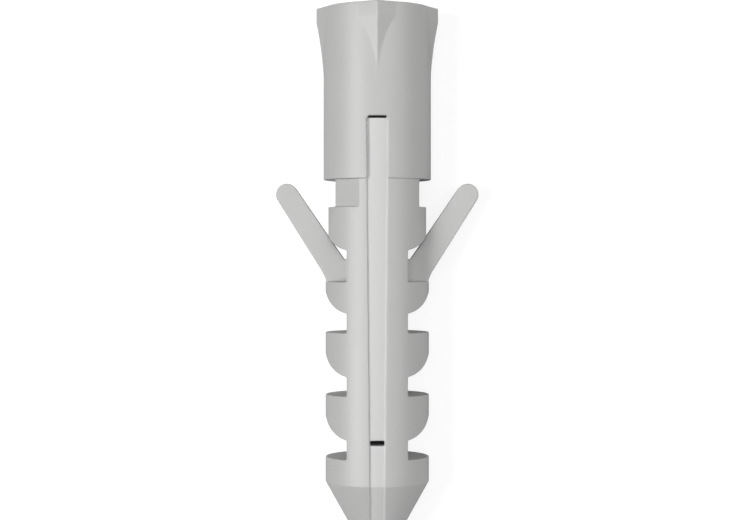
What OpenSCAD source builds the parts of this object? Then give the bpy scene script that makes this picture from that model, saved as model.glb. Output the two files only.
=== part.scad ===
// Expansion plug of grey nylon for an 8 mm hole in masonry, moulded in one piece.
// It lies as it comes to rest, on a fin, a tongue and the lower end of its shank: mouth
// towards +Y, the seen side up and turned towards +X. Only there is world +Z up.
// Depths are measured along the axis from the mouth. All sizes are in mm.

/* [Overall] */
// whole length from the mouth to the tip
plug_length = 40; // [38:0.5:44]
// diameter of the collar, which is the size of the drilled hole
collar_d = 8; // [7.7:0.05:8.3]
// diameter over the toothed shank
shank_d = 7.7; // [7.5:0.02:7.9]

/* [Fins at the mouth] */
// how far the four fins stand out of the collar at the mouth
fin_height = 0.55; // [0.3:0.05:0.8]
// straight part of a fin's crest next to the mouth
fin_straight = 1.1; // [0.5:0.1:2]
// depth at which the crests have run down into the collar
fin_length = 7; // [5:0.1:7.4]
// slope of a fin's two flanks against the collar
fin_slope = 30; // [26:1:34]

/* [Neck and teeth] */
// width left between the two neck cuts
neck_width = 6.2; // [5.6:0.1:6.6]
// height of the neck between the collar and the first tooth
neck_height = 2.05; // [1.8:0.05:2.4]
// distance of the neck's two slanted flats from the axis
neck_relief = 3.49; // [3.3:0.01:3.7]
// distance from the top of one tooth to the top of the next
tooth_pitch = 4.66; // [4.5:0.02:4.8]
// straight height of the last tooth above the tip
last_tooth = 1.9; // [1.6:0.1:2.4]
// where a tooth's rounding has its centre, below the tooth's top
tooth_drop = 1.25; // [1.1:0.05:1.4]
// radius of the rounding on a tooth's underside
tooth_round = 2; // [1.85:0.05:2.1]
// width of the core left between the notches
core_width = 4.5; // [4.2:0.1:4.8]

/* [Tongues] */
// from the first tooth's top down to where a tongue's inner face meets the core
hinge_drop = 4.2; // [4:0.05:4.4]
// width across the ends of the two open tongues
tongue_span = 15.1; // [14.6:0.1:15.8]
// length of a tongue along its inner face
tongue_length = 7.6; // [7.3:0.05:8.2]
// thickness of a tongue at its root
tongue_root_t = 1.9; // [1.7:0.02:2.1]
// thickness of a tongue at its rounded end
tongue_tip_t = 1.6; // [1.4:0.02:1.8]
// width of a tongue across the plug's seen side
tongue_width = 2; // [1.7:0.1:2.4]
// free space beside a tongue that is folded into its pocket
pocket_play = 0.2; // [0.1:0.05:0.3]
// distance of the pocket's floor from the axis
pocket_floor = 2.6; // [2.4:0.05:2.8]
// how much lower the tooth under the tongues starts, so that they can bend
hinge_relief = 0.9; // [0.7:0.05:1]

/* [Strip and windows] */
// depth at which the two sunk strips begin
strip_start = 8.5; // [8.2:0.1:9.2]
// width of a strip at its upper end
strip_width = 1.6; // [1.4:0.05:1.8]
// width of a strip at the tip
strip_end_width = 1; // [0.8:0.05:1.2]
// how deep a strip lies below the shank's surface
strip_sink = 0.14; // [0.1:0.01:0.18]
// height of the upper window, just above the strip
upper_window = 0.16; // [0.1:0.02:0.3]
// height of the lower window
lower_window = 0.36; // [0.24:0.02:0.5]
// height of the lower window's middle above the lower end of the shank
lower_window_rise = 3.2; // [2.6:0.1:3.8]

/* [Inside] */
// diameter of the screw bore through the collar
bore_d = 5.2; // [4.8:0.1:5.4]
// depth of the straight part of the bore
bore_depth = 9; // [8.4:0.1:9.6]
// diameter at the end of the first taper
throat_d = 2.6; // [2.2:0.1:3]
// depth of the end of the first taper
throat_depth = 17; // [16:0.5:18]
// diameter of the hole through the tip
tip_hole_d = 1.6; // [1.2:0.1:1.8]
// length of the straight hole through the tip
tip_hole_length = 3; // [2.4:0.1:4]
// lead-in round the bore at the mouth
lead_in = 0.35; // [0.2:0.05:0.4]
// thickness of the web between a strip and the slot behind it
web = 0.45; // [0.35:0.05:0.6]
// width of the slot and of the window at its upper end
slot_width = 1.4; // [1.2:0.05:1.5]
// width of the slot and of the window at its lower end
slot_end_width = 1.05; // [0.9:0.05:1.1]

/* [Tip] */
// length of the tip, from where it begins to narrow
tip_length = 4.5; // [3.5:0.1:4.8]
// radius of the flat end of the tip
tip_end_r = 1.35; // [1.2:0.05:1.5]

/* [Hidden] */
$fn = 96;
collar_r = collar_d / 2;
shank_r = shank_d / 2;
core_half = core_width / 2;
bore_r = bore_d / 2;
tooth_count = 5;
// a rounding's circle passes this far outside the shank, so that it crosses it cleanly
overrun = 0.04;
reach = 12;
// the turned body's seam lies here, between a fin and the next
seam_turn = 23;
// the teeth sit at fixed distances above the tip, so a longer plug has a longer collar
tip_start = plug_length - tip_length;
first_tooth = tip_start - last_tooth - (tooth_count - 1) * tooth_pitch;
collar_length = first_tooth - neck_height;
pocket_start = collar_length + 0.3;
hinge_depth = first_tooth + hinge_drop;
lower_window_depth = tip_start - lower_window_rise;
strip_floor_r = shank_r - strip_sink;
slot_r = strip_floor_r - web;
slot_top = strip_start - upper_window;
slot_bottom = lower_window_depth + lower_window / 2;
tongue_root_r = tongue_root_t / 2;
tongue_tip_r = tongue_tip_t / 2;
hinge_fillet = 0.15;
shoulder_fillet = 3.1;
// the shoulder begins this far inside the shank's surface, so that it leaves no ledge
shoulder_sink = 0.15;
// the tongue's slope follows from its length and from the width across the ends
tongue_centre_r = norm([tongue_length - tongue_tip_r, tongue_tip_r]);
tongue_angle = asin((tongue_span / 2 - tongue_tip_r - core_half) / tongue_centre_r)
    - asin(tongue_tip_r / tongue_centre_r);
tongue_hinge = [core_half, up(hinge_depth)];
tongue_along = [sin(tongue_angle), cos(tongue_angle)];
tongue_outward = [cos(tongue_angle), -sin(tongue_angle)];
tongue_end = tongue_hinge + (tongue_length - tongue_tip_r) * tongue_along
    + tongue_tip_r * tongue_outward;
tongue_taper = 2 * atan((tongue_root_r - tongue_tip_r) / (tongue_length - tongue_tip_r));
outer_angle = tongue_angle - tongue_taper;
fin_floor_r = collar_r - 0.05;
// a fin's plates begin this far from the axis, inside the collar and clear of the next fin's
fin_root = 1.8;
fin_rise = (collar_r + fin_height - fin_floor_r) * cos(fin_slope);
fin_run = fin_length - fin_straight;
fin_arc_r = (fin_run * fin_run + fin_rise * fin_rise) / (2 * fin_rise);
tip_grow = (shank_r - tip_end_r) / tip_length;
// direction from the plug to the floor, then the turn about its axis and the lean
// of its axis that bring that direction down, and the height of the axis's middle
floor_way = settled([0.4, 0.9, 0], 12);
roll = atan2(floor_way[0], floor_way[1]);
lean = -asin(floor_way[2]);
rest_height = floor_way * contacts(floor_way)[0] - floor_way[2] * plug_length / 2;

// which piece to draw

// height above the tip of a place that lies at this depth below the mouth
function up(depth) = plug_length - depth;

// depth of the top of tooth i, where the second tooth starts lower under the tongues
function tooth_top(i) = first_tooth + i * tooth_pitch + (i == 1 ? hinge_relief : 0);

// where the plug touches a floor that lies this way from it: crest of the back fin,
// back edge of the right-hand tongue's end, lower end of the shank
function contacts(way) = [
    [0, collar_r + fin_height, up(fin_straight)],
    [tongue_end[0], tongue_width / 2, tongue_end[1]]
        + tongue_tip_r * [way[0], 0, way[2]] / norm([way[0], way[2]]),
    [shank_r * way[0], shank_r * way[1], 0] / norm([way[0], way[1]]) + [0, 0, up(tip_start)]
];

// direction at right angles to the plane through three points
function square_to(p) = cross(p[1] - p[0], p[2] - p[0]) / norm(cross(p[1] - p[0], p[2] - p[0]));

// direction to the floor once the plug has settled on its three points
function settled(way, rounds) =
    rounds <= 0 ? way : settled(square_to(contacts(way)), rounds - 1);

// section of the shank, collar and tip from the axis outwards
module body_section() {
    polygon([
        [0, 0],
        [tip_end_r, 0],
        [shank_r, up(tip_start)],
        [shank_r, up(collar_length)],
        [collar_r, up(collar_length)],
        [collar_r, plug_length],
        [0, plug_length]
    ]);
}

// one flank of a fin: the space under a slope that runs down in an arc
module fin_flank_outline() {
    low = fin_floor_r * cos(fin_slope);
    difference() {
        translate([fin_root, up(fin_length)])
            square([low + fin_rise - fin_root, fin_length]);
        translate([low + fin_arc_r, up(fin_length)])
            circle(r = fin_arc_r, $fn = 720);
    }
}

// fin with its crest towards +Y
module fin() {
    intersection_for (side = [-1, 1])
        rotate([0, 0, side * fin_slope])
            rotate([90, 0, 90])
                linear_extrude(height = reach, center = true)
                    fin_flank_outline();
}

// everything between the underside of tooth i and the top of the next one
module notch_outline(i) {
    bottom = up(tooth_top(i + 1));
    round_z = up(first_tooth + i * tooth_pitch + tooth_drop);
    difference() {
        translate([core_half, bottom])
            square([reach, round_z - bottom]);
        translate([shank_r + overrun - tooth_round, round_z])
            circle(r = tooth_round);
    }
}

// notches on the right-hand side, straight through from the back to the seen side
module notches() {
    rotate([90, 0, 0])
        linear_extrude(height = reach, center = true)
            for (i = [0 : tooth_count - 2])
                notch_outline(i);
}

// pocket on the right-hand side into which a tongue folds
module pocket() {
    half = tongue_width / 2 + pocket_play;
    translate([pocket_floor, -half, up(tooth_top(1))])
        cube([reach, 2 * half, tooth_top(1) - pocket_start]);
}

// what stays of the shank at the neck: straight at the sides, and slanted
// at the back right and, half a turn on, at the front left
module neck_section() {
    intersection() {
        circle(r = collar_r + 0.1);
        square([neck_width, 2 * reach], center = true);
        rotate([0, 0, 45])
            square([2 * neck_relief, 2 * reach], center = true);
    }
}

// everything round the neck between the collar and the first tooth
module neck_cut() {
    translate([0, 0, up(first_tooth)])
        linear_extrude(height = neck_height)
            difference() {
                square(2 * reach, center = true);
                neck_section();
            }
}

// outline of the right-hand tongue, with its bent root
module tongue_outline() {
    outer_out = [cos(outer_angle), -sin(outer_angle)];
    // centre of the fillet between the core and the inner face
    inner_x = hinge_fillet - 0.02;
    inner_z = (hinge_fillet + inner_x * cos(tongue_angle)) / sin(tongue_angle);
    inner_c = tongue_hinge + [inner_x, inner_z];
    // centre of the large fillet between the outer face and the shank
    outer_x = shank_r - shoulder_sink + shoulder_fillet - core_half;
    outer_t = tongue_root_r * (1 + cos(tongue_taper));
    outer_z = (outer_x * cos(outer_angle) - outer_t - shoulder_fillet) / sin(outer_angle);
    outer_c = tongue_hinge + [outer_x, outer_z];
    union() {
        difference() {
            polygon([
                [core_half - 0.15, outer_c[1]],
                outer_c,
                outer_c - shoulder_fillet * outer_out,
                tongue_end + tongue_tip_r * outer_out,
                tongue_end - tongue_tip_r * tongue_outward,
                inner_c + hinge_fillet * tongue_outward,
                inner_c,
                [core_half - 0.15, inner_c[1]]
            ]);
            translate(inner_c)
                circle(r = hinge_fillet);
            translate(outer_c)
                circle(r = shoulder_fillet);
        }
        translate(tongue_end)
            circle(r = tongue_tip_r);
    }
}

// right-hand tongue
module tongue() {
    rotate([90, 0, 0])
        linear_extrude(height = tongue_width, center = true)
            tongue_outline();
}

// bore with its two tapers and the hole through the tip, turned round the axis
module bore() {
    rotate_extrude()
        polygon([
            [0, -1],
            [tip_hole_d / 2, -1],
            [tip_hole_d / 2, tip_hole_length],
            [throat_d / 2, up(throat_depth)],
            [bore_r, up(bore_depth)],
            [bore_r, up(lead_in)],
            [bore_r + lead_in, plug_length],
            [bore_r + lead_in, plug_length + 1],
            [0, plug_length + 1]
        ]);
}

// slot that lets the two halves spread, closed by a web on both sides
module slot() {
    intersection() {
        translate([-reach / 2, -slot_r, up(slot_bottom)])
            cube([reach, 2 * slot_r, slot_bottom - slot_top]);
        rotate([90, 0, 0])
            linear_extrude(height = 2 * slot_r + 1, center = true)
                polygon([
                    [-slot_end_width / 2, up(slot_bottom)],
                    [slot_end_width / 2, up(slot_bottom)],
                    [slot_width / 2, up(slot_top)],
                    [-slot_width / 2, up(slot_top)]
                ]);
    }
}

// sunk strip on the seen side, from the upper window to the tip
module strip() {
    difference() {
        rotate([90, 0, 0])
            linear_extrude(height = reach)
                polygon([
                    [-strip_end_width / 2, -1],
                    [strip_end_width / 2, -1],
                    [strip_width / 2, up(strip_start)],
                    [-strip_width / 2, up(strip_start)]
                ]);
        rotate_extrude()
            polygon([
                [0, -0.5],
                [tip_end_r - strip_sink - 0.5 * tip_grow, -0.5],
                [strip_floor_r, up(tip_start)],
                [strip_floor_r, plug_length],
                [0, plug_length]
            ]);
    }
}

// windows on the seen side, through the web into the slot
module windows() {
    translate([-slot_width / 2, -reach, up(strip_start)])
        cube([slot_width, reach - slot_r + 0.1, upper_window]);
    translate([-slot_end_width / 2, -reach, up(slot_bottom)])
        cube([slot_end_width, reach - slot_r + 0.1, lower_window]);
}

// shank with collar and fins, notched on both sides
module shank() {
    difference() {
        union() {
            rotate([0, 0, seam_turn])
                rotate_extrude()
                    body_section();
            for (turn = [0 : 90 : 270])
                rotate([0, 0, turn])
                    fin();
        }
        neck_cut();
        for (turn = [0, 180])
            rotate([0, 0, turn]) {
                notches();
                pocket();
            }
    }
}

module plug() {
    color("#C4C3C0")
        translate([0, 0, rest_height])
            rotate([lean - 90, 0, 0])
                rotate([0, 0, roll])
                    translate([0, 0, -plug_length / 2])
                        difference() {
                            union() {
                                shank();
                                for (turn = [0, 180])
                                    rotate([0, 0, turn])
                                        tongue();
                            }
                            bore();
                            slot();
                            for (turn = [0, 180])
                                rotate([0, 0, turn]) {
                                    strip();
                                    windows();
                                }
                        }
}

plug();
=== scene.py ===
"""Grey nylon plug for an 8 mm hole in masonry, lying as it comes to rest on a pale floor."""
import logging
import math
from dataclasses import dataclass, fields
from enum import Enum
from typing import Any, Optional, Sequence, Union

import bmesh
import bpy
from mathutils import Matrix, Vector


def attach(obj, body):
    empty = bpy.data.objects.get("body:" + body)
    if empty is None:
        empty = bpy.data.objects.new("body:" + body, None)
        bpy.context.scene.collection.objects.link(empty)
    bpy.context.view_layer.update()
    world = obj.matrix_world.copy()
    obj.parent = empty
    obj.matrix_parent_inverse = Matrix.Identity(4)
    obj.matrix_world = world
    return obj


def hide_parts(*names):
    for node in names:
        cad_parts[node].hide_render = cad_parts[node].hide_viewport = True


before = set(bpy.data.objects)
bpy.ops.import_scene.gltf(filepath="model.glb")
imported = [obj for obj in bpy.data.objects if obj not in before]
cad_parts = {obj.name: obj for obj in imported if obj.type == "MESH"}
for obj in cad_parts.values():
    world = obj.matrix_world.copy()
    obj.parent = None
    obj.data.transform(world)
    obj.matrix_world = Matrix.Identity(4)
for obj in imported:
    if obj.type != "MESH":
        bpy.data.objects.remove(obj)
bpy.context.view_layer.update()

LOG = logging.getLogger("plug")
MM = 0.001
DEGREE = math.pi / 180

Number = Union[float, "Value"]


class Mode(Enum):
    """How one solid is put together with others."""

    JOIN = "UNION"
    CUT = "DIFFERENCE"
    SHARE = "INTERSECT"


class Value:
    """A node's output that takes part in Python arithmetic."""

    def __init__(self, graph: "Graph", socket: bpy.types.NodeSocket) -> None:
        """Wraps a socket.

        Args:
            graph: The node tree's helper, which adds the Math nodes.
            socket: The output that carries the value.
        """
        self.graph = graph
        self.socket = socket

    def _math(self, operation: str, *terms: Number) -> "Value":
        """Adds a Math node that works on these terms."""
        sockets = dict(enumerate(terms))
        return self.graph.value("ShaderNodeMath", {"operation": operation}, sockets)

    def __add__(self, other: Number) -> "Value":
        """Sum."""
        return self._math("ADD", self, other)

    def __radd__(self, other: Number) -> "Value":
        """Sum with a number on the left."""
        return self._math("ADD", other, self)

    def __sub__(self, other: Number) -> "Value":
        """Difference."""
        return self._math("SUBTRACT", self, other)

    def __rsub__(self, other: Number) -> "Value":
        """Difference with a number on the left."""
        return self._math("SUBTRACT", other, self)

    def __mul__(self, other: Number) -> "Value":
        """Product."""
        return self._math("MULTIPLY", self, other)

    def __rmul__(self, other: Number) -> "Value":
        """Product with a number on the left."""
        return self._math("MULTIPLY", other, self)

    def __truediv__(self, other: Number) -> "Value":
        """Quotient."""
        return self._math("DIVIDE", self, other)

    def __rtruediv__(self, other: Number) -> "Value":
        """Quotient with a number on the left."""
        return self._math("DIVIDE", other, self)

    def __neg__(self) -> "Value":
        """Opposite."""
        return self._math("MULTIPLY", self, -1.0)

    def __gt__(self, other: Number) -> "Value":
        """One where this value is the larger, else nought."""
        return self._math("GREATER_THAN", self, other)

    def cos(self) -> "Value":
        """Cosine of an angle in radians."""
        return self._math("COSINE", self)

    def sin(self) -> "Value":
        """Sine of an angle in radians."""
        return self._math("SINE", self)

    def magnitude(self) -> "Value":
        """Value without its sign."""
        return self._math("ABSOLUTE", self)

    def arcsine(self) -> "Value":
        """Angle in radians whose sine this is."""
        return self._math("ARCSINE", self)

    def arccosine(self) -> "Value":
        """Angle in radians whose cosine this is."""
        return self._math("ARCCOSINE", self)

    def smooth_step(self, low: float, high: float) -> "Value":
        """Rises smoothly from nought at low to one at high.

        Args:
            low: Where it starts to rise.
            high: Where it reaches one.

        Returns:
            The eased value.
        """
        return self.graph.value("ShaderNodeMapRange", {"interpolation_type": "SMOOTHSTEP"},
                                {"Value": self, "From Min": low, "From Max": high})


class Graph:
    """Adds nodes to one node tree."""

    def __init__(self, tree: bpy.types.NodeTree) -> None:
        """Works on the given tree."""
        self.tree = tree

    def node(self, kind: str, settings: Optional[dict[str, Any]] = None,
             sockets: Optional[dict[Union[str, int], Any]] = None) -> bpy.types.Node:
        """Adds one node.

        Args:
            kind: The node's type.
            settings: Its properties.
            sockets: Values or links by the name or number of the input, a list for several links.

        Returns:
            The new node.
        """
        node = self.tree.nodes.new(kind)
        for name, setting in (settings or {}).items():
            setattr(node, name, setting)
        for key, given in (sockets or {}).items():
            socket = node.inputs[key]
            for one in given if isinstance(given, list) else [given]:
                if isinstance(one, Value):
                    self.tree.links.new(one.socket, socket)
                else:
                    socket.default_value = one
        return node

    def value(self, kind: str, settings: Optional[dict[str, Any]] = None,
              sockets: Optional[dict[Union[str, int], Any]] = None,
              output: Union[str, int] = 0) -> Value:
        """Adds one node and returns one of its outputs.

        Args:
            kind: The node's type.
            settings: Its properties.
            sockets: Its inputs' values or links.
            output: Name or number of the output.

        Returns:
            The output.
        """
        return Value(self, self.node(kind, settings, sockets).outputs[output])


@dataclass(frozen=True)
class Corner:
    """One corner of an outline."""

    x: Number
    y: Number
    steps: int = 0


@dataclass(frozen=True)
class Arc:
    """A round stretch of an outline, with its angles in radians."""

    x: Number
    y: Number
    radius: Number
    start: Number
    end: Number
    steps: int


class SolidGraph(Graph):
    """Adds Geometry Nodes that make and combine closed solids."""

    # Points nearer to each other than this become one, in millimetres.
    SAME_POINT = 0.0005
    # Radius of the circle along which an outline is turned round the axis.
    PATH_R = 1.0

    def sized(self, name: str, default: float) -> Value:
        """Adds a named input to the tree.

        Args:
            name: The input's name.
            default: Its value.

        Returns:
            The input as a value.
        """
        whole = isinstance(default, int)
        kind = "NodeSocketInt" if whole else "NodeSocketFloat"
        socket = self.tree.interface.new_socket(name=name, in_out="INPUT", socket_type=kind)
        socket.default_value = default
        source = self.tree.nodes.get("Sizes") or self.node("NodeGroupInput", {"name": "Sizes"})
        return Value(self, source.outputs[name])

    def point(self, x: Number, y: Number, z: Number) -> Value:
        """Makes a vector of three values."""
        return self.value("ShaderNodeCombineXYZ", None, {0: x, 1: y, 2: z})

    def outline(self, parts: Sequence[Union[Corner, Arc]], closed: bool = True) -> Value:
        """Makes a curve in the XY plane.

        Args:
            parts: Corners and arcs in their order along the curve.
            closed: Whether the last point joins up with the first.

        Returns:
            The curve.
        """
        index = self.value("GeometryNodeInputIndex")
        place: Optional[Value] = None
        first = 0
        for part in parts:
            here = self._place(part, index, first)
            if place is None:
                place = here
            else:
                reached = index > first - 0.5
                place = self.value("GeometryNodeSwitch", {"input_type": "VECTOR"},
                                   {"Switch": reached, "False": place, "True": here})
            first += part.steps + 1
        points = self.value("GeometryNodeMeshLine", None, {"Count": first})
        moved = self.value("GeometryNodeSetPosition", None,
                           {"Geometry": points, "Position": place})
        curve = self.value("GeometryNodeMeshToCurve", None, {"Mesh": moved})
        return self.value("GeometryNodeSetSplineCyclic", None,
                          {"Geometry": curve, "Cyclic": closed})

    def _place(self, part: Union[Corner, Arc], index: Value, first: int) -> Value:
        """Gives the place of a point of one part, as a field of its index.

        Args:
            part: The corner or arc.
            index: The point's number along the whole outline.
            first: Number of the part's first point.

        Returns:
            The place.
        """
        if isinstance(part, Corner):
            return self.point(part.x, part.y, 0.0)
        angle = part.start + (index - first) * ((part.end - part.start) / part.steps)
        return self.point(part.x + part.radius * angle.cos(), part.y + part.radius * angle.sin(),
                          0.0)

    def prism(self, outline: Value, length: Number) -> Value:
        """Draws an outline out to both sides, so that its X is across and its Y is up.

        Args:
            outline: The closed curve.
            length: The prism's whole length, along the depth.

        Returns:
            The closed solid.
        """
        way = self.value("GeometryNodeCurvePrimitiveLine", None,
                         {"Start": self.point(0.0, 0.0, length * -0.5),
                          "End": self.point(0.0, 0.0, length * 0.5)})
        solid = self.value("GeometryNodeCurveToMesh", None,
                           {"Curve": way, "Profile Curve": outline, "Fill Caps": True})
        return self.placed(solid, turn=(90 * DEGREE, 0.0, 0.0))

    def turned(self, parts: Sequence[Corner], segments: Number) -> Value:
        """Turns an outline round the Z axis, with its X outwards and its Y up.

        Args:
            parts: Corners of the outline, the first and the last on the axis.
            segments: How many flats the round has.

        Returns:
            The closed solid.
        """
        circle = self.value("GeometryNodeCurvePrimitiveCircle", None,
                            {"Resolution": segments, "Radius": self.PATH_R})
        upright = self.placed(self.outline(parts, closed=False), move=(-self.PATH_R, 0.0, 0.0),
                              turn=(math.pi, 0.0, 0.0))
        solid = self.value("GeometryNodeCurveToMesh", None,
                           {"Curve": circle, "Profile Curve": upright})
        merged = self.value("GeometryNodeMergeByDistance", None,
                            {"Geometry": solid, "Distance": self.SAME_POINT})
        return self.value("GeometryNodeFlipFaces", None, {"Mesh": merged})

    def block(self, low: Sequence[Number], high: Sequence[Number]) -> Value:
        """Makes a box between two corners.

        Args:
            low: The corner with the least X, Y and Z.
            high: The corner with the greatest.

        Returns:
            The closed solid.
        """
        size = [end - start for start, end in zip(low, high)]
        middle = [(start + end) * 0.5 for start, end in zip(low, high)]
        cube = self.value("GeometryNodeMeshCube", None, {"Size": self.point(*size)})
        return self.placed(cube, move=self.point(*middle))

    def placed(self, geometry: Value, move: Any = None, turn: Any = None,
               scale: Any = None) -> Value:
        """Scales, turns and moves a geometry.

        Args:
            geometry: What is placed.
            move: How far it moves, as three values or a vector.
            turn: Its turn about X, Y and Z, in radians.
            scale: How much larger it becomes along X, Y and Z.

        Returns:
            The placed geometry.
        """
        sockets: dict[Union[str, int], Any] = {"Geometry": geometry}
        for name, given in (("Translation", move), ("Rotation", turn), ("Scale", scale)):
            if given is not None:
                sockets[name] = given
        return self.value("GeometryNodeTransform", None, sockets)

    def around(self, geometry: Value, count: int) -> Value:
        """Repeats a solid round the Z axis.

        Args:
            geometry: The solid in its first place.
            count: How many there are.

        Returns:
            All of them as plain geometry.
        """
        index = self.value("GeometryNodeInputIndex")
        points = self.value("GeometryNodeMeshLine", None,
                            {"Count": count, "Offset": (0.0, 0.0, 0.0)})
        turn = self.point(0.0, 0.0, index * (2 * math.pi / count))
        return self.repeated(geometry, points, turn)

    def repeated(self, geometry: Value, points: Value, turn: Optional[Value] = None) -> Value:
        """Puts a copy of a solid on every point.

        Args:
            geometry: The solid.
            points: The points.
            turn: Turn of each copy, in radians.

        Returns:
            All the copies as plain geometry.
        """
        sockets = {"Points": points, "Instance": geometry}
        if turn is not None:
            sockets["Rotation"] = turn
        copies = self.value("GeometryNodeInstanceOnPoints", None, sockets)
        return self.value("GeometryNodeRealizeInstances", None, {"Geometry": copies})

    def solid(self, mode: Mode, first: Value, others: Sequence[Value]) -> Value:
        """Combines solids.

        Args:
            mode: Whether they are joined, cut or shared.
            first: The solid that is worked on.
            others: The other solids.

        Returns:
            The closed result.
        """
        settings = {"operation": mode.value, "solver": "EXACT"}
        if mode is Mode.CUT:
            return self.value("GeometryNodeMeshBoolean", settings,
                              {"Mesh 1": first, "Mesh 2": list(others)})
        return self.value("GeometryNodeMeshBoolean", settings, {"Mesh 2": [first, *others]})


@dataclass(frozen=True)
class PlugSizes:
    """Sizes of the plug in millimetres and degrees, the same as in its CAD source."""

    plug_length: float = 40.0
    collar_d: float = 8.0
    shank_d: float = 7.7
    fin_height: float = 0.55
    fin_straight: float = 1.1
    fin_length: float = 7.0
    fin_slope: float = 30.0
    neck_width: float = 6.2
    neck_height: float = 2.05
    neck_relief: float = 3.49
    tooth_pitch: float = 4.66
    last_tooth: float = 1.9
    tooth_drop: float = 1.25
    tooth_round: float = 2.0
    core_width: float = 4.5
    hinge_drop: float = 4.2
    tongue_span: float = 15.1
    tongue_length: float = 7.6
    tongue_root_t: float = 1.9
    tongue_tip_t: float = 1.6
    tongue_width: float = 2.0
    pocket_play: float = 0.2
    pocket_floor: float = 2.6
    hinge_relief: float = 0.9
    strip_start: float = 8.5
    strip_width: float = 1.6
    strip_end_width: float = 1.0
    strip_sink: float = 0.14
    upper_window: float = 0.16
    lower_window: float = 0.36
    lower_window_rise: float = 3.2
    bore_d: float = 5.2
    bore_depth: float = 9.0
    throat_d: float = 2.6
    throat_depth: float = 17.0
    tip_hole_d: float = 1.6
    tip_hole_length: float = 3.0
    lead_in: float = 0.35
    web: float = 0.45
    slot_width: float = 1.4
    slot_end_width: float = 1.05
    tip_length: float = 4.5
    tip_end_r: float = 1.35
    tooth_count: int = 5
    hinge_fillet: float = 0.15
    shoulder_fillet: float = 3.1
    shoulder_sink: float = 0.15
    segments: int = 144

    def tongue_lean(self) -> float:
        """Works out a tongue's slant from the span across both tongues.

        Returns:
            The angle, in radians.
        """
        tip_r = self.tongue_tip_t / 2
        reach = math.hypot(self.tongue_length - tip_r, tip_r)
        return (math.asin((self.tongue_span / 2 - tip_r - self.core_width / 2) / reach)
                - math.asin(tip_r / reach))

    def tongue_end(self) -> tuple[float, float]:
        """Works out where the centre of a tongue's round end is.

        Returns:
            Its distance from the axis, and its height above the hinge.
        """
        angle, tip_r = self.tongue_lean(), self.tongue_tip_t / 2
        straight = self.tongue_length - tip_r
        return (self.core_width / 2 + straight * math.sin(angle) + tip_r * math.cos(angle),
                straight * math.cos(angle) - tip_r * math.sin(angle))

    def first_top(self) -> float:
        """Height of the first tooth's top above the tip."""
        return self.tip_length + self.last_tooth + (self.tooth_count - 1) * self.tooth_pitch


@dataclass(frozen=True)
class Moulding:
    """What the mould leaves: rounded edges, a seam and the gate's mark, in millimetres."""

    voxel: float = 0.045
    melt: float = 0.5
    rounds: int = 8
    triangles: int = 190000
    # The seam's ridge is a slice of the plug, drawn a little wider and longer and moved up.
    seam_width: float = 0.12
    seam_height: float = 0.035
    seam_lift: float = 0.004
    seam_stretch: float = 1.0003
    gate_depth: float = 0.12
    gate_floor_r: float = 0.28
    gate_r: float = 0.4
    gate_offset: float = 2.42
    gate_segments: int = 48
    # Turns about X and Z, in degrees, while the edges are rounded.
    grid_turn: tuple[float, float] = (35.0, 25.0)

    def askew(self) -> Matrix:
        """Turns the plug, so that its long straight edges don't run along the voxel grid.

        Returns:
            The turn.
        """
        first, second = (angle * DEGREE for angle in self.grid_turn)
        return Matrix.Rotation(first, 4, "X") @ Matrix.Rotation(second, 4, "Z")


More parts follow.
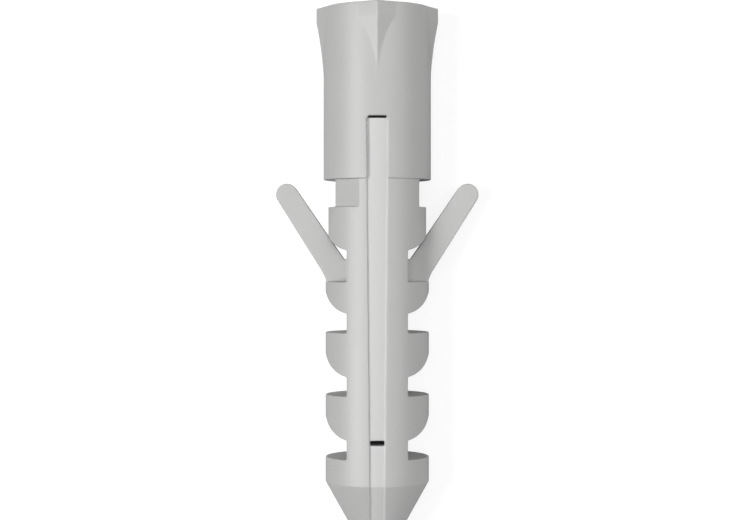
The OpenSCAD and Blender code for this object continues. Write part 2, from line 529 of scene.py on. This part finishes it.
@dataclass(frozen=True)
class PlugBody:
    """The plug, moulded in one piece. All lengths are in millimetres."""

    NODE = "plug"
    PIECE = "plug_body"
    FIN_COUNT = 4
    SIDES = 2
    # How far cutters and plates run past an end, and how far they reach from the axis.
    SPARE = 1.0
    STRIP_SPARE = 0.6
    FAR = 9.0
    # Whole depths of the prisms that go right through.
    THROUGH = 12.0
    STRIP_REACH = 20.0
    # Where a fin's plate starts from the axis, and how deep its arc ends in the collar.
    FIN_ROOT = 1.8
    FIN_OVERLAP = 0.05
    # Turn of the neck's slanted cuts about the axis, in degrees.
    SLANT = 45.0
    # How far outside the shank a tooth's arc starts.
    NOTCH_BULGE = 0.04
    # How much of the neck stays between a pocket and the collar.
    POCKET_LID = 0.3
    # How deep a tongue's root and its inner fillet sink into the core.
    ROOT_SINK = 0.15
    FILLET_SINK = 0.02
    # How far the windows reach into the slot.
    WINDOW_OVERLAP = 0.1
    # How many flats a round stretch has.
    FIN_STEPS = 24
    ROUND_STEPS = 20
    FILLET_STEPS = 12
    # The search for the resting place: the first guess of straight up, and its rounds.
    REST_GUESS = (0.4, 0.9, 0.0)
    REST_ROUNDS = 12

    sizes: PlugSizes
    moulding: Moulding

    def build_tree(self, nylon: bpy.types.Material) -> bpy.types.NodeTree:
        """Makes the Geometry Nodes tree of the whole plug, in millimetres.

        Args:
            nylon: The material that it is given.

        Returns:
            The tree, with one named input for each size.
        """
        tree = bpy.data.node_groups.new("plug_solid", "GeometryNodeTree")
        g = SolidGraph(tree)
        s = {size.name: g.sized(size.name.replace("_", " ").capitalize(),
                                getattr(self.sizes, size.name))
             for size in fields(self.sizes)}
        tree.interface.new_socket(name="Solid", in_out="OUTPUT", socket_type="NodeSocketGeometry")
        s["collar_r"] = s["collar_d"] * 0.5
        s["shank_r"] = s["shank_d"] * 0.5
        s["core_half"] = s["core_width"] * 0.5
        s["first_top"] = (s["tip_length"] + s["last_tooth"]
                          + (s["tooth_count"] - 1) * s["tooth_pitch"])
        s["collar_z"] = s["first_top"] + s["neck_height"]
        whole = g.solid(Mode.JOIN, self._turned_body(g, s), [self._fins(g, s)])
        whole = g.solid(Mode.CUT, whole, [*self._neck_cuts(g, s), self._notches(g, s),
                                          self._pockets(g, s)])
        whole = g.solid(Mode.JOIN, whole, [self._tongues(g, s)])
        whole = self._mould_seam(g, s, whole)
        whole = g.solid(Mode.CUT, whole, [self._bore(g, s), self._mouth_trim(g, s),
                                          self._slot(g, s), self._strips(g, s),
                                          *self._windows(g, s), self._gate_mark(g, s)])
        real = g.value("GeometryNodeRealizeInstances", None, {"Geometry": whole})
        smooth = g.value("GeometryNodeSetShadeSmooth", None, {"Geometry": real})
        dressed = g.value("GeometryNodeSetMaterial", None, {"Geometry": smooth, "Material": nylon})
        g.node("NodeGroupOutput", None, {0: dressed})
        return tree

    def _turned_body(self, g: SolidGraph, s: dict[str, Value]) -> Value:
        """Turns the collar, the shank and the tip as one solid.

        Args:
            g: The tree's helper.
            s: The sizes, as inputs of the tree.

        Returns:
            The closed solid.
        """
        top = s["plug_length"] + self.SPARE / 2
        return g.turned([
            Corner(0.0, 0.0), Corner(s["tip_end_r"], 0.0), Corner(s["shank_r"], s["tip_length"]),
            Corner(s["shank_r"], s["collar_z"]), Corner(s["collar_r"], s["collar_z"]),
            Corner(s["collar_r"], top), Corner(0.0, top),
        ], s["segments"])

    def _fins(self, g: SolidGraph, s: dict[str, Value]) -> Value:
        """Makes each fin from what two sloping plates share, which run down in an arc.

        Args:
            g: The tree's helper.
            s: The sizes, as inputs of the tree.

        Returns:
            All four fins.
        """
        slope = self.sizes.fin_slope * DEGREE
        low = (s["collar_r"] - self.FIN_OVERLAP) * math.cos(slope)
        rise = (s["fin_height"] + self.FIN_OVERLAP) * math.cos(slope)
        run = s["fin_length"] - s["fin_straight"]
        radius = (run * run + rise * rise) / (rise * 2.0)
        end = (run / radius).arcsine()
        foot = s["plug_length"] - s["fin_length"]
        top = s["plug_length"] + self.SPARE
        plate = g.prism(g.outline([
            Corner(self.FIN_ROOT, foot),
            Arc(low + radius, foot, radius, math.pi, math.pi - end, self.FIN_STEPS),
            Corner(low + rise, top), Corner(self.FIN_ROOT, top),
        ]), self.THROUGH)
        pair = [g.placed(plate, turn=(0.0, 0.0, side * slope)) for side in (-1, 1)]
        return g.around(g.solid(Mode.SHARE, pair[0], [pair[1]]), self.FIN_COUNT)

    def _neck_cuts(self, g: SolidGraph, s: dict[str, Value]) -> list[Value]:
        """Cuts the neck straight on both sides, and slanted at two corners.

        Args:
            g: The tree's helper.
            s: The sizes, as inputs of the tree.

        Returns:
            What is cut away.
        """
        low, high = s["first_top"], (self.FAR, self.FAR, s["collar_z"])
        side = g.block((s["neck_width"] * 0.5, -self.FAR, low), high)
        slant = g.placed(g.block((s["neck_relief"], -self.FAR, low), high),
                         turn=(0.0, 0.0, self.SLANT * DEGREE))
        return [g.around(g.solid(Mode.JOIN, side, [slant]), self.SIDES)]

    def _notches(self, g: SolidGraph, s: dict[str, Value]) -> Value:
        """Repeats the notches on both sides, the first one deeper for the tongue.

        Args:
            g: The tree's helper.
            s: The sizes, as inputs of the tree.

        Returns:
            What is cut away.
        """
        first = self._notch(g, s, s["hinge_relief"])
        points = g.value("GeometryNodeMeshLine", None, {
            "Count": s["tooth_count"] - 2, "Start Location": g.point(0.0, 0.0, -s["tooth_pitch"]),
            "Offset": g.point(0.0, 0.0, -s["tooth_pitch"])})
        others = g.repeated(self._notch(g, s, 0.0), points)
        row = g.value("GeometryNodeJoinGeometry", None, {0: [first, others]})
        return g.around(row, self.SIDES)

    def _notch(self, g: SolidGraph, s: dict[str, Value], deeper: Number) -> Value:
        """Makes the notch under the first tooth on the right-hand side.

        Args:
            g: The tree's helper.
            s: The sizes, as inputs of the tree.
            deeper: How much further down it reaches.

        Returns:
            What is cut away.
        """
        bottom = s["first_top"] - s["tooth_pitch"] - deeper
        middle = s["first_top"] - s["tooth_drop"]
        centre = s["shank_r"] + self.NOTCH_BULGE - s["tooth_round"]
        end = ((s["core_half"] - centre) / s["tooth_round"]).arccosine()
        return g.prism(g.outline([
            Corner(s["core_half"], bottom), Corner(self.FAR, bottom), Corner(self.FAR, middle),
            Arc(centre, middle, s["tooth_round"], 0.0, -end, self.ROUND_STEPS),
        ]), self.THROUGH)

    def _pockets(self, g: SolidGraph, s: dict[str, Value]) -> Value:
        """Makes the pockets behind the tongues.

        Args:
            g: The tree's helper.
            s: The sizes, as inputs of the tree.

        Returns:
            What is cut away.
        """
        half = s["tongue_width"] * 0.5 + s["pocket_play"]
        bottom = s["first_top"] - s["tooth_pitch"] - s["hinge_relief"]
        top = s["collar_z"] - self.POCKET_LID
        pocket = g.block((s["pocket_floor"], -half, bottom), (self.FAR, half, top))
        return g.around(pocket, self.SIDES)

    def _tongues(self, g: SolidGraph, s: dict[str, Value]) -> Value:
        """Makes the tongues, with a large shoulder outside and a small fillet inside.

        Args:
            g: The tree's helper.
            s: The sizes, as inputs of the tree.

        Returns:
            Both closed solids.
        """
        t = self.sizes
        root_r, tip_r, core = t.tongue_root_t / 2, t.tongue_tip_t / 2, t.core_width / 2
        angle = t.tongue_lean()
        taper = 2 * math.atan((root_r - tip_r) / (t.tongue_length - tip_r))
        outer = angle - taper
        hinge_z = s["first_top"] - s["hinge_drop"]
        end_x, end_z = t.tongue_end()
        inner_x = t.hinge_fillet - self.FILLET_SINK
        inner_z = (t.hinge_fillet + inner_x * math.cos(angle)) / math.sin(angle)
        outer_x = t.shank_d / 2 - t.shoulder_sink + t.shoulder_fillet - core
        outer_z = ((outer_x * math.cos(outer) - root_r * (1 + math.cos(taper))
                    - t.shoulder_fillet) / math.sin(outer))
        tongue = g.prism(g.outline([
            Corner(core - self.ROOT_SINK, hinge_z + outer_z),
            Arc(core + outer_x, hinge_z + outer_z, t.shoulder_fillet, math.pi, math.pi - outer,
                self.ROUND_STEPS),
            Arc(end_x, hinge_z + end_z, tip_r, -outer, math.pi - angle, self.ROUND_STEPS),
            Arc(core + inner_x, hinge_z + inner_z, t.hinge_fillet, -angle, -math.pi,
                self.FILLET_STEPS),
            Corner(core - self.ROOT_SINK, hinge_z + inner_z),
        ]), s["tongue_width"])
        return g.around(tongue, self.SIDES)

    def _mould_seam(self, g: SolidGraph, s: dict[str, Value], whole: Value) -> Value:
        """Adds the fine ridge along the outline, where the two halves of the mould met.

        Args:
            g: The tree's helper.
            s: The sizes, as inputs of the tree.
            whole: The solid that gets the ridge.

        Returns:
            The solid with its ridge.
        """
        m = self.moulding
        half = m.seam_width / 2
        slab = g.block((-self.FAR, -half, -self.SPARE),
                       (self.FAR, half, s["plug_length"] + 2 * self.SPARE))
        plate = g.solid(Mode.SHARE, whole, [slab])
        wider = 1.0 + m.seam_height * 2.0 / s["shank_d"]
        ridge = g.placed(plate, move=(0.0, 0.0, m.seam_lift),
                         scale=g.point(wider, 1.0, m.seam_stretch))
        return g.solid(Mode.JOIN, whole, [ridge])

    def _gate_mark(self, g: SolidGraph, s: dict[str, Value]) -> Value:
        """Makes the dimple in the mouth face, where the nylon was let into the mould.

        Args:
            g: The tree's helper.
            s: The sizes, as inputs of the tree.

        Returns:
            What is cut away.
        """
        m, top = self.moulding, s["plug_length"]
        dimple = g.turned([
            Corner(0.0, top - m.gate_depth), Corner(m.gate_floor_r, top - m.gate_depth),
            Corner(m.gate_r, top), Corner(m.gate_r, top + self.SPARE),
            Corner(0.0, top + self.SPARE),
        ], m.gate_segments)
        return g.placed(dimple, move=g.point(m.gate_offset, m.gate_offset, 0.0))

    def _bore(self, g: SolidGraph, s: dict[str, Value]) -> Value:
        """Turns the screw bore with its two tapers and the hole through the tip.

        Args:
            g: The tree's helper.
            s: The sizes, as inputs of the tree.

        Returns:
            What is cut away.
        """
        length, bore_r = s["plug_length"], s["bore_d"] * 0.5
        mouth_r, above = bore_r + s["lead_in"], length + 2 * self.SPARE
        return g.turned([
            Corner(0.0, -self.SPARE), Corner(s["tip_hole_d"] * 0.5, -self.SPARE),
            Corner(s["tip_hole_d"] * 0.5, s["tip_hole_length"]),
            Corner(s["throat_d"] * 0.5, length - s["throat_depth"]),
            Corner(bore_r, length - s["bore_depth"]), Corner(bore_r, length - s["lead_in"]),
            Corner(mouth_r, length), Corner(mouth_r, above), Corner(0.0, above),
        ], s["segments"])

    def _mouth_trim(self, g: SolidGraph, s: dict[str, Value]) -> Value:
        """Cuts everything off flush at the mouth.

        Args:
            g: The tree's helper.
            s: The sizes, as inputs of the tree.

        Returns:
            What is cut away.
        """
        return g.block((-self.FAR, -self.FAR, s["plug_length"]),
                       (self.FAR, self.FAR, s["plug_length"] + 3 * self.SPARE))

    def _slot_r(self, s: dict[str, Value]) -> Value:
        """Distance of the slot's end from the axis, behind the web."""
        return s["shank_r"] - s["strip_sink"] - s["web"]

    def _slot(self, g: SolidGraph, s: dict[str, Value]) -> Value:
        """Makes the slot that lets the two halves spread.

        Args:
            g: The tree's helper.
            s: The sizes, as inputs of the tree.

        Returns:
            What is cut away.
        """
        top = s["plug_length"] - s["strip_start"] + s["upper_window"]
        bottom = s["tip_length"] + s["lower_window_rise"] - s["lower_window"] * 0.5
        wide, narrow = s["slot_width"] * 0.5, s["slot_end_width"] * 0.5
        return g.prism(g.outline([
            Corner(-narrow, bottom), Corner(narrow, bottom), Corner(wide, top), Corner(-wide, top),
        ]), self._slot_r(s) * 2.0)

    def _strips(self, g: SolidGraph, s: dict[str, Value]) -> Value:
        """Makes the sunk strips on the seen side and the back.

        Args:
            g: The tree's helper.
            s: The sizes, as inputs of the tree.

        Returns:
            What is cut away.
        """
        grow = (s["shank_r"] - s["tip_end_r"]) / s["tip_length"]
        floor = s["shank_r"] - s["strip_sink"]
        top = s["plug_length"] - s["strip_start"]
        low, below = self.SPARE / -2, -self.STRIP_SPARE
        band = g.prism(g.outline([
            Corner(s["strip_end_width"] * -0.5, low), Corner(s["strip_end_width"] * 0.5, low),
            Corner(s["strip_width"] * 0.5, top), Corner(s["strip_width"] * -0.5, top),
        ]), self.STRIP_REACH)
        core = g.turned([
            Corner(0.0, below),
            Corner(s["tip_end_r"] - s["strip_sink"] - grow * self.STRIP_SPARE, below),
            Corner(floor, s["tip_length"]), Corner(floor, s["plug_length"]),
            Corner(0.0, s["plug_length"]),
        ], s["segments"])
        return g.solid(Mode.CUT, band, [core])

    def _windows(self, g: SolidGraph, s: dict[str, Value]) -> list[Value]:
        """Makes the windows at both ends of the strips, through the web into the slot.

        Args:
            g: The tree's helper.
            s: The sizes, as inputs of the tree.

        Returns:
            What is cut away.
        """
        inner = self._slot_r(s) - self.WINDOW_OVERLAP
        top = s["plug_length"] - s["strip_start"]
        low = s["tip_length"] + s["lower_window_rise"] - s["lower_window"] * 0.5
        wide, narrow = s["slot_width"] * 0.5, s["slot_end_width"] * 0.5
        upper = g.block((-wide, -self.FAR, top), (wide, -inner, top + s["upper_window"]))
        lower = g.block((-narrow, -self.FAR, low), (narrow, -inner, low + s["lower_window"]))
        return [g.around(upper, self.SIDES), g.around(lower, self.SIDES)]

    def pose(self) -> Matrix:
        """Works out how the plug lies, from the three points on which it rests.

        Returns:
            The matrix from the drawing in millimetres to the floor in metres.
        """
        t = self.sizes
        end_x, end_z = t.tongue_end()
        crest = Vector((0.0, t.collar_d / 2 + t.fin_height, t.plug_length - t.fin_straight))
        tongue = Vector((end_x, t.tongue_width / 2, t.first_top() - t.hinge_drop + end_z))
        way = Vector(self.REST_GUESS)
        for _ in range(self.REST_ROUNDS):
            side = Vector((way.x, 0.0, way.z)).normalized() * (t.tongue_tip_t / 2)
            back = Vector((way.x, way.y, 0.0)).normalized() * (t.shank_d / 2)
            rests = [crest, tongue + side, back + Vector((0.0, 0.0, t.tip_length))]
            way = (rests[1] - rests[0]).cross(rests[2] - rests[0]).normalized()
        roll, lean = math.atan2(way.x, way.y), -math.asin(way.z)
        height = way.dot(rests[0]) - way.z * t.plug_length / 2
        return (Matrix.Scale(MM, 4) @ Matrix.Translation((0.0, 0.0, height))
                @ Matrix.Rotation(lean - math.pi / 2, 4, "X") @ Matrix.Rotation(roll, 4, "Z")
                @ Matrix.Translation((0.0, 0.0, -t.plug_length / 2)))

    def build(self, nylon: bpy.types.Material) -> bpy.types.Object:
        """Makes the plug's mesh.

        Args:
            nylon: Its material.

        Returns:
            The finished object.
        """
        holder = bpy.data.objects.new("plug_maker", bpy.data.meshes.new("plug_maker"))
        bpy.context.scene.collection.objects.link(holder)
        sharp = self.sharp_mesh(holder, nylon)
        LOG.info("sharp solid: %d faces", len(sharp.polygons))
        askew = self.moulding.askew()
        sharp.transform(askew)
        holder.data = sharp
        mesh = self.soften(holder)
        bpy.data.objects.remove(holder)
        LOG.info("scraps dropped: %d", self.drop_scraps(mesh))
        mesh.name = self.PIECE
        mesh.materials.clear()
        mesh.materials.append(nylon)
        mesh.transform(self.pose() @ askew.inverted())
        plug = bpy.data.objects.new(self.PIECE, mesh)
        bpy.context.scene.collection.objects.link(plug)
        return plug

    def sharp_mesh(self, holder: bpy.types.Object, nylon: bpy.types.Material) -> bpy.types.Mesh:
        """Runs the Geometry Nodes tree with the plug's sizes.

        Args:
            holder: The object that carries the modifier while it runs.
            nylon: The plug's material.

        Returns:
            The solid with sharp edges, in millimetres.
        """
        tree = self.build_tree(nylon)
        maker = holder.modifiers.new("Solid", "NODES")
        maker.node_group = tree
        for socket in tree.interface.items_tree:
            if socket.in_out == "INPUT":
                size = socket.name.lower().replace(" ", "_")
                maker[socket.identifier] = getattr(self.sizes, size)
        sharp = self.evaluated_mesh(holder)
        holder.modifiers.remove(maker)
        return sharp

    @staticmethod
    def evaluated_mesh(holder: bpy.types.Object) -> bpy.types.Mesh:
        """Gives a new mesh of an object with its modifiers applied."""
        evaluated = holder.evaluated_get(bpy.context.evaluated_depsgraph_get())
        return bpy.data.meshes.new_from_object(evaluated)

    def soften(self, holder: bpy.types.Object) -> bpy.types.Mesh:
        """Rounds every edge as a mould leaves it.

        Args:
            holder: The object that holds the sharp solid.

        Returns:
            The rounded mesh, light enough for one piece.
        """
        grid = holder.modifiers.new("Grid", "REMESH")
        grid.mode = "VOXEL"
        grid.voxel_size = self.moulding.voxel
        grid.use_smooth_shade = True
        melt = holder.modifiers.new("Melt", "SMOOTH")
        melt.factor = self.moulding.melt
        melt.iterations = self.moulding.rounds
        dense = self.evaluated_mesh(holder)
        holder.modifiers.clear()
        holder.data = dense
        thin = holder.modifiers.new("Thin", "DECIMATE")
        dense_triangles = 2 * len(dense.polygons)
        thin.ratio = self.moulding.triangles / dense_triangles
        return self.evaluated_mesh(holder)

    @staticmethod
    def drop_scraps(mesh: bpy.types.Mesh) -> int:
        """Deletes the tiny loose scraps that a voxel grid can leave beside the solid.

        Args:
            mesh: The rounded mesh, which is changed.

        Returns:
            How many scraps there were.
        """
        work = bmesh.new()
        work.from_mesh(mesh)
        unseen = set(work.verts)
        islands = []
        while unseen:
            island = [unseen.pop()]
            for vertex in island:
                for edge in vertex.link_edges:
                    other = edge.other_vert(vertex)
                    if other in unseen:
                        unseen.discard(other)
                        island.append(other)
            islands.append(island)
        islands.sort(key=len)
        scraps = [vertex for island in islands[:-1] for vertex in island]
        bmesh.ops.delete(work, geom=scraps, context="VERTS")
        work.to_mesh(mesh)
        work.free()
        return len(islands) - 1


@dataclass(frozen=True)
class Nylon:
    """Finish of the moulded grey nylon, with painted light on the sunk strips where light shines
    through the thin web. Lengths are in millimetres.
    """

    # What a noise texture gives on average.
    MIDDLE = 0.5

    name: str = "plug_nylon"
    grey: tuple[float, float, float] = (0.50, 0.50, 0.494)
    shade: float = 0.965
    roughness: float = 0.46
    index: float = 1.53
    detail: float = 3.0
    cloud_scale: float = 0.35
    cloud_detail_share: float = 0.55
    cloud_shade: float = 0.05
    cloud_rough: float = 0.12
    flow_stretch: tuple[float, float, float] = (2.2, 2.2, 0.16)
    flow_detail: float = 4.0
    flow_detail_share: float = 0.6
    flow_shade: float = 0.02
    flow_height: float = 0.006
    grain_scale: float = 9.0
    grain_detail_share: float = 0.6
    grain_rough: float = 0.10
    grain_share: float = 0.6
    speck_scale: float = 5.5
    speck_share: float = 0.25
    relief: float = 0.012
    bump: float = 0.6
    # Painted light: the strips' colour is made this much lighter, for light shining through the
    # thin web.
    strip_lift: float = 1.19
    strip_rough: float = 0.06
    # Where the strips' painted light and lower roughness set in: from their sides, from their tops
    # and from the axis.
    strip_sides: tuple[float, float] = (-0.06, 0.03)
    strip_top: tuple[float, float] = (-0.02, 0.04)
    strip_front: tuple[float, float] = (0.9, 1.1)

    def make(self, pose: Matrix, sizes: PlugSizes) -> bpy.types.Material:
        """Builds the material.

        Args:
            pose: The plug's place, from its drawing in millimetres.
            sizes: The plug's sizes, which place the strip.

        Returns:
            The material.
        """
        material = bpy.data.materials.new(self.name)
        material.use_nodes = True
        material.node_tree.nodes.clear()
        g = Graph(material.node_tree)
        back = pose.inverted()
        spot = g.value("ShaderNodeMapping", None, {
            "Vector": g.value("ShaderNodeTexCoord", output="Object"),
            "Location": back.to_translation(), "Rotation": back.to_euler(),
            "Scale": back.to_scale()})
        strip_light_area = self._strip_mask(g, spot, sizes)
        cloud = g.value("ShaderNodeTexNoise", None, {
            "Vector": spot, "Scale": self.cloud_scale, "Detail": self.detail,
            "Roughness": self.cloud_detail_share})
        flow = g.value("ShaderNodeTexNoise", None, {
            "Vector": g.value("ShaderNodeVectorMath", {"operation": "MULTIPLY"},
                              {0: spot, 1: self.flow_stretch}),
            "Scale": 1.0, "Detail": self.flow_detail, "Roughness": self.flow_detail_share})
        grain = g.value("ShaderNodeTexNoise", None, {
            "Vector": spot, "Scale": self.grain_scale, "Detail": self.detail,
            "Roughness": self.grain_detail_share})
        speck = g.value("ShaderNodeTexVoronoi", {"feature": "F1"},
                        {"Vector": spot, "Scale": self.speck_scale}, "Distance")
        # The strips' colour is lifted here: painted light standing in for light shining through
        # the thin web.
        shade = ((self.shade + cloud * self.cloud_shade + flow * self.flow_shade)
                 * (1.0 + strip_light_area * (self.strip_lift - 1.0)))
        colour = g.value("ShaderNodeVectorMath", {"operation": "SCALE"},
                         {0: self.grey, "Scale": shade})
        rough = (self.roughness + (cloud - self.MIDDLE) * self.cloud_rough
                 + (grain - self.MIDDLE) * self.grain_rough - strip_light_area * self.strip_rough)
        height = ((grain * self.grain_share + speck * self.speck_share) * self.relief
                  + flow * self.flow_height)
        bump = g.value("ShaderNodeBump", None,
                       {"Strength": self.bump, "Distance": MM, "Height": height})
        shader = g.value("ShaderNodeBsdfPrincipled", None, {
            "Base Color": colour, "Roughness": rough, "Normal": bump, "IOR": self.index})
        g.node("ShaderNodeOutputMaterial", None, {"Surface": shader})
        return material

    def _strip_mask(self, g: Graph, spot: Value, sizes: PlugSizes) -> Value:
        """Finds the sunk strips, which get painted light.

        Args:
            g: The material's nodes.
            spot: The place on the plug, in its drawing's millimetres.
            sizes: The plug's sizes.

        Returns:
            One on the strips and nought beside them.
        """
        split = g.node("ShaderNodeSeparateXYZ", None, {0: spot})
        x, y, z = (Value(g, socket) for socket in split.outputs)
        top = sizes.plug_length - sizes.strip_start
        half = 0.5 * (sizes.strip_end_width
                      + (sizes.strip_width - sizes.strip_end_width) * z / top)
        return ((half - x.magnitude()).smooth_step(*self.strip_sides)
                * (top - z).smooth_step(*self.strip_top)
                * y.magnitude().smooth_step(*self.strip_front))


@dataclass(frozen=True)
class Lamp:
    """One soft round lamp that looks at the plug.

    Its way leads from the plug to the right, up and towards the camera, as in the picture. Its
    distance and size are in metres and its power is in watts.
    """

    name: str
    way: tuple[float, float, float]
    distance: float
    size: float
    power: float

    def place(self, pose: Matrix, length: float) -> None:
        """Adds the lamp to the scene.

        Args:
            pose: The plug's place, from its drawing in millimetres.
            length: The plug's length in millimetres.
        """
        data = bpy.data.lights.new(self.name, "AREA")
        data.shape = "DISK"
        data.size, data.energy = self.size, self.power
        lamp = bpy.data.objects.new(self.name, data)
        bpy.context.scene.collection.objects.link(lamp)
        right, up, near = self.way
        back = (pose.to_3x3().normalized() @ Vector((right, -near, up))).normalized()
        lamp.location = pose @ Vector((0.0, 0.0, length / 2)) + back * self.distance
        lamp.rotation_mode = "QUATERNION"
        lamp.rotation_quaternion = back.to_track_quat("Z", "Y")


@dataclass(frozen=True)
class Studio:
    """Pale floor, soft lamps and the camera."""

    # The camera's sensor, focal length, distance and aim, in millimetres. The aim is given
    # below the mouth and to the right of the axis.
    SENSOR = 36.0
    focal: float = 83.0
    distance: float = 130.0
    aim_depth: float = 18.9
    aim_side: float = -0.17
    # The nearest and farthest that it sees, and the floor's side, in metres.
    clip: tuple[float, float] = (0.01, 10.0)
    floor_size: float = 3.0
    floor_grey: float = 0.6
    floor_seen_grey: float = 0.25
    floor_glow: float = 0.85
    world_light: float = 0.05
    lamps: tuple[Lamp, ...] = (
        Lamp("lamp_left", (-0.72, -0.05, 0.72), 0.35, 0.20, 0.96),
        Lamp("lamp_front", (0.05, 0.14, 1.0), 0.60, 0.45, 1.16),
        Lamp("lamp_right", (0.66, 0.10, 0.74), 0.45, 0.30, 0.48),
    )

    def floor(self) -> bpy.types.Object:
        """Makes the floor, which the camera sees white and which keeps the shadow.

        Returns:
            The floor.
        """
        half = self.floor_size / 2
        mesh = bpy.data.meshes.new("floor")
        mesh.from_pydata([(-half, -half, 0.0), (half, -half, 0.0), (half, half, 0.0),
                          (-half, half, 0.0)], [], [(0, 1, 2, 3)])
        floor = bpy.data.objects.new("floor", mesh)
        bpy.context.scene.collection.objects.link(floor)
        material = bpy.data.materials.new("floor_pale")
        material.use_nodes = True
        material.node_tree.nodes.clear()
        g = Graph(material.node_tree)
        seen = g.value("ShaderNodeLightPath", output="Is Camera Ray")
        # Inputs 6 and 7 and output 2 are the ones that a Mix node has for colours.
        shade = g.value("ShaderNodeMix", {"data_type": "RGBA"},
                        {0: seen, 6: self.opaque(self.floor_grey),
                         7: self.opaque(self.floor_seen_grey)}, 2)
        matt = g.value("ShaderNodeBsdfDiffuse", None, {"Color": shade})
        glow = g.value("ShaderNodeEmission", None, {"Strength": seen * self.floor_glow})
        both = g.value("ShaderNodeAddShader", None, {0: matt, 1: glow})
        g.node("ShaderNodeOutputMaterial", None, {"Surface": both})
        mesh.materials.append(material)
        return floor

    @staticmethod
    def opaque(grey: float) -> tuple[float, float, float, float]:
        """Gives a grey as a colour."""
        return (grey, grey, grey, 1.0)

    def surroundings(self) -> None:
        """Makes the world: even grey light, and white where the camera sees it."""
        world = bpy.data.worlds.new("studio")
        bpy.context.scene.world = world
        world.use_nodes = True
        world.node_tree.nodes.clear()
        g = Graph(world.node_tree)
        seen = g.value("ShaderNodeLightPath", output="Is Camera Ray")
        strength = self.world_light + seen * (1.0 - self.world_light)
        light = g.value("ShaderNodeBackground", None,
                        {"Color": self.opaque(1.0), "Strength": strength})
        g.node("ShaderNodeOutputWorld", None, {"Surface": light})

    def light(self, pose: Matrix, length: float) -> None:
        """Places every lamp round the plug.

        Args:
            pose: The plug's place, from its drawing in millimetres.
            length: The plug's length in millimetres.
        """
        for lamp in self.lamps:
            lamp.place(pose, length)

    def camera(self, pose: Matrix, length: float) -> None:
        """Puts the camera square to the plug's seen side, as in the photograph.

        Args:
            pose: The plug's place, from its drawing in millimetres.
            length: The plug's length in millimetres.
        """
        data = bpy.data.cameras.new("camera")
        data.lens, data.sensor_width = self.focal, self.SENSOR
        data.clip_start, data.clip_end = self.clip
        camera = bpy.data.objects.new("camera", data)
        bpy.context.scene.collection.objects.link(camera)
        turn = pose.to_3x3().normalized()
        right, up, back = (turn @ Vector(v) for v in ((1, 0, 0), (0, 0, 1), (0, -1, 0)))
        camera.matrix_world = Matrix((right, up, back)).transposed().to_4x4()
        camera.location = pose @ Vector((self.aim_side, -self.distance, length - self.aim_depth))
        bpy.context.scene.camera = camera


def main() -> None:
    """Builds the plug and its studio."""
    logging.basicConfig(level=logging.INFO, format="%(name)s: %(message)s")
    bpy.context.scene.view_settings.view_transform = "Standard"
    body = PlugBody(PlugSizes(), Moulding())
    pose, length = body.pose(), body.sizes.plug_length
    studio = Studio()
    studio.camera(pose, length)
    plug = body.build(Nylon().make(pose, body.sizes))
    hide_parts(PlugBody.NODE)
    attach(plug, "root")
    LOG.info("plug: %d faces", len(plug.data.polygons))
    floor = studio.floor()
    LOG.info("floor: %d face", len(floor.data.polygons))
    studio.surroundings()
    studio.light(pose, length)
    LOG.info("lamps: %d", len(studio.lamps))


if __name__ == "__main__":
    main()
